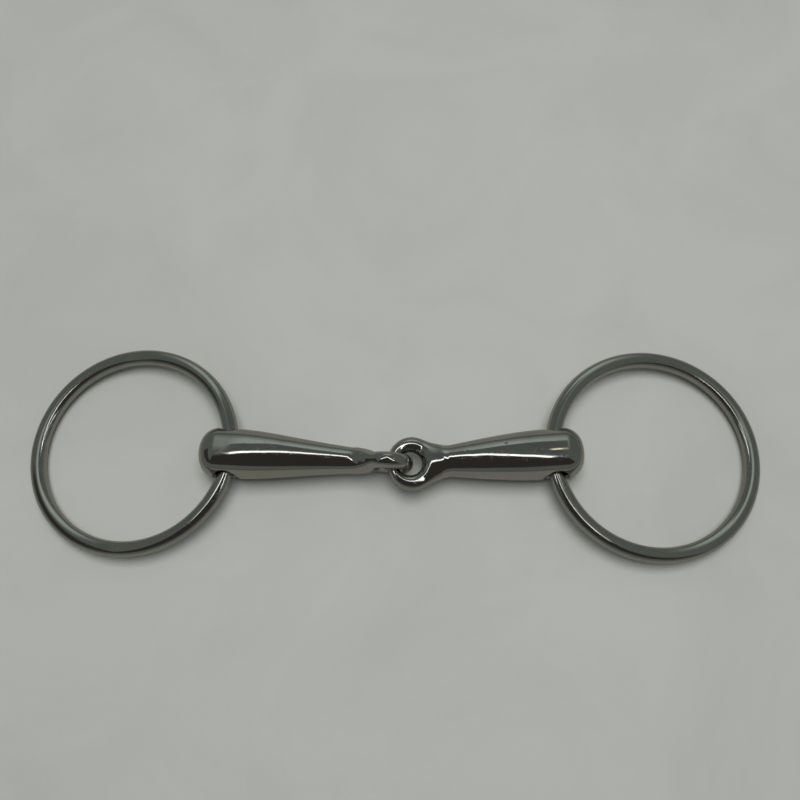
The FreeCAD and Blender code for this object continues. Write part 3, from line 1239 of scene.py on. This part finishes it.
@dataclass
class Studio:
    """Camera, floor and light."""

    camera_place: Vector = field(default_factory=lambda: Vector((11.80, -77.45, 289.49)) * MM)
    camera_turn_deg: tuple[float, float, float] = (18.853, 1.330, 1.414)
    lens_mm: float = 37.51
    sensor_mm: float = 36.0
    lens_shift: float = 0.000625         # left and up, as a share of the frame
    nearest: float = 0.01
    floor_half: float = 4.0
    mirror_lift: float = 0.02 * MM       # of the mirrored board over the one that the camera sees
    room_tint: tuple[float, float, float, float] = (0.138, 0.153, 0.137, 1.0)
    patch_tint: tuple[float, float, float, float] = (0.47, 0.53, 0.47, 1.0)
    skyline: tuple[float, float, float, float] = (0.07, 0.07, 0.065, 1.0)
    skyline_top: float = 0.05            # how steeply up the skyline ends, as a heading's Z
    patch_rise: tuple[float, float] = (0.05, 0.62)     # the patch starts and is whole, by Z
    patch_aside: tuple[float, float] = (0.42, 0.08)    # the same, by distance aside
    patch_far: tuple[float, float] = (-0.1, 0.3)       # the same, by Y
    lamp_power: float = 7.4
    lamp_place: tuple[float, float, float] = (0.05, 0.12, 1.1)
    lamp_tint: tuple[float, float, float] = (1.0, 0.985, 0.96)
    lamp_size: float = 0.7

    def place_camera(self) -> None:
        """Put the camera where the bit is seen from above and a little in front."""
        data = bpy.data.cameras.new("camera")
        data.lens = self.lens_mm
        data.sensor_width = self.sensor_mm
        data.shift_x = -self.lens_shift
        data.shift_y = self.lens_shift
        data.clip_start = self.nearest
        camera = bpy.data.objects.new("camera", data)
        camera.location = self.camera_place
        camera.rotation_euler = Euler([math.radians(angle) for angle in self.camera_turn_deg])
        bpy.context.scene.collection.objects.link(camera)
        bpy.context.scene.camera = camera
        bpy.context.scene.view_settings.view_transform = "Standard"

    def lay_floor(self, effects: Effects) -> None:
        """Lay the painted board under the bit.

        Args:
            effects: the shared node groups.
        """
        half = self.floor_half
        # The second board is a darker copy that only shiny surfaces see: painted shade in the steel's
        # reflection of the board.
        for paint, level in ((PalePaint(), 0.0), (ShadedReflectionPaint(), self.mirror_lift)):
            mesh = bpy.data.meshes.new(paint.name)
            corners = [(-half, -half, level), (half, -half, level), (half, half, level), (-half, half, level)]
            mesh.from_pydata(corners, [], [(0, 1, 2, 3)])
            mesh.materials.append(paint.material(effects))
            board = add_piece(mesh, paint.name)
            board.visible_shadow = False
            if isinstance(paint, ShadedReflectionPaint):
                hide_from_soft_light(board)
            else:
                board.visible_glossy = False

    def light(self) -> None:
        """Light the bit: a soft lamp overhead, a dim room, and cards for the steel to mirror."""
        lamp_data = bpy.data.lights.new("soft_lamp", "AREA")
        lamp_data.energy = self.lamp_power
        lamp_data.shape = "SQUARE"
        lamp_data.size = self.lamp_size
        lamp_data.color = self.lamp_tint
        lamp = bpy.data.objects.new("soft_lamp", lamp_data)
        lamp.location = self.lamp_place
        lamp.visible_glossy = False
        bpy.context.scene.collection.objects.link(lamp)
        self.light_room()
        for card in self.cards():
            card.hang()

    def light_room(self) -> None:
        """Make the dim room: grey all round, with a paler patch of ceiling over the far side."""
        world = bpy.data.worlds.new("room")
        bpy.context.scene.world = world
        world.use_nodes = True
        bench = Bench(world.node_tree)
        heading = bench.add("ShaderNodeTexCoord").outputs["Generated"]
        axes = bench.add("ShaderNodeSeparateXYZ", Vector=heading)
        aside = bench.math("ABSOLUTE", axes.outputs["X"])
        patch = bench.math("MULTIPLY", bench.ramp(axes.outputs["Z"], *self.patch_rise),
                           bench.ramp(aside, *self.patch_aside))
        patch = bench.math("MULTIPLY", patch, bench.ramp(axes.outputs["Y"], *self.patch_far))
        over = bench.ramp(axes.outputs["Z"], 0.0, self.skyline_top)
        low = bench.mix_colour(over, self.skyline, self.room_tint)
        background = world.node_tree.nodes["Background"]
        bench.feed(background.inputs["Color"], bench.mix_colour(patch, low, self.patch_tint))
        background.inputs["Strength"].default_value = 1.0

    @staticmethod
    def cards() -> list[Card]:
        """List the cards that give the steel its dark and bright bands.

        Returns:
            A dark card over the far side, an arched bright strip, the dark of the near side and of
            the left, and a small warm panel at the right.
        """
        strip_width = 0.017
        just_under = 0.1495              # a little lower than the dark cards, so that it hides them
        strip = [(-0.092, -0.034), (-0.079, -0.019), (-0.059, -0.004), (-0.038, 0.013), (-0.020, 0.033),
                 (-0.008, 0.043), (0.002, 0.034), (0.012, 0.020), (0.026, 0.000), (0.048, -0.029),
                 (0.072, -0.048), (0.092, -0.070)]
        far_edge = [(0.094, 0.140), (0.072, 0.150), (0.026, 0.150), (0.009, 0.145), (-0.005, 0.130),
                    (-0.018, 0.160), (-0.038, 0.160), (-0.059, 0.113), (-0.079, 0.095), (-0.092, 0.072)]
        near_left = [(-0.50, -0.36), (-0.21, -0.18), (-0.140, -0.105), (-0.106, -0.067)]
        near_right = [(0.098, -0.080), (0.1065, -0.10), (0.175, -0.135), (0.50, -0.34)]
        return [
            Card("overhead_card", strip + far_edge, (0.85, 0.95, 0.90, 1.0), 0.140),
            Card("bright_strip", ribbon(strip, strip_width), (1.0, 1.0, 0.985, 1.0), 2.9, just_under),
            Card("near_dark", near_left + strip + near_right, (1.0, 0.84, 0.74, 1.0), 0.044),
            Card("left_dark", [(-0.60, -0.36), (-0.21, -0.30), (-0.21, 0.03), (-0.60, 0.03)],
                 (1.0, 0.90, 0.82, 1.0), 0.045),
            Card("warm_panel", [(0.079, 0.010), (0.088, 0.010), (0.088, 0.024), (0.079, 0.024)],
                 (1.0, 0.90, 0.62, 1.0), 2.2, just_under),
        ]


def build_bit(layout: Layout, effects: Effects) -> None:
    """Build every piece of the bit and report it.

    Args:
        layout: where the pieces lie.
        effects: the shared node groups.
    """
    mouthpiece_steel = PolishedSteel("mouthpiece_polish").material(effects)
    ring_steel = PolishedSteel("ring_polish", roughness=0.09, pit_cover=0.03).material(effects)
    halves = [
        MouthpieceHalf(Side.LEFT, layout.half(Side.LEFT), length=64.7 * MM, middle_r=6.55 * MM,
                       eye_roll_deg=95.5, finish=HandFinish(seed=11)),
        MouthpieceHalf(Side.RIGHT, layout.half(Side.RIGHT), length=58.1 * MM, middle_r=6.9 * MM,
                       eye_roll_deg=0.0, finish=HandFinish(seed=23),
                       marks=(Dent(17.3 * MM, -23.0, 0.32 * MM, 0.30 * MM),)),
    ]
    for half in halves:
        piece = half.build()
        half.dress(piece, mouthpiece_steel)
        log.info("%s: %d faces", piece.name, len(piece.data.polygons))
    for seed, side in enumerate(Side):
        low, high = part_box(f"{side.value}_ring")
        ring = CheekRing(side, layout.ring(side), outer_r=(high.y - low.y) / 2.0, seed=seed)
        piece = ring.build(ring_steel)
        ring.dress(piece)
        log.info("%s: %d faces", piece.name, len(piece.data.polygons))


def main() -> None:
    """Build the scene."""
    logging.basicConfig(level=logging.INFO, format="%(name)s %(message)s", stream=sys.stdout)
    studio = Studio()
    studio.place_camera()
    effects = Effects()
    studio.lay_floor(effects)
    studio.light()
    build_bit(Layout(frame), effects)


if __name__ == "__main__":
    main()
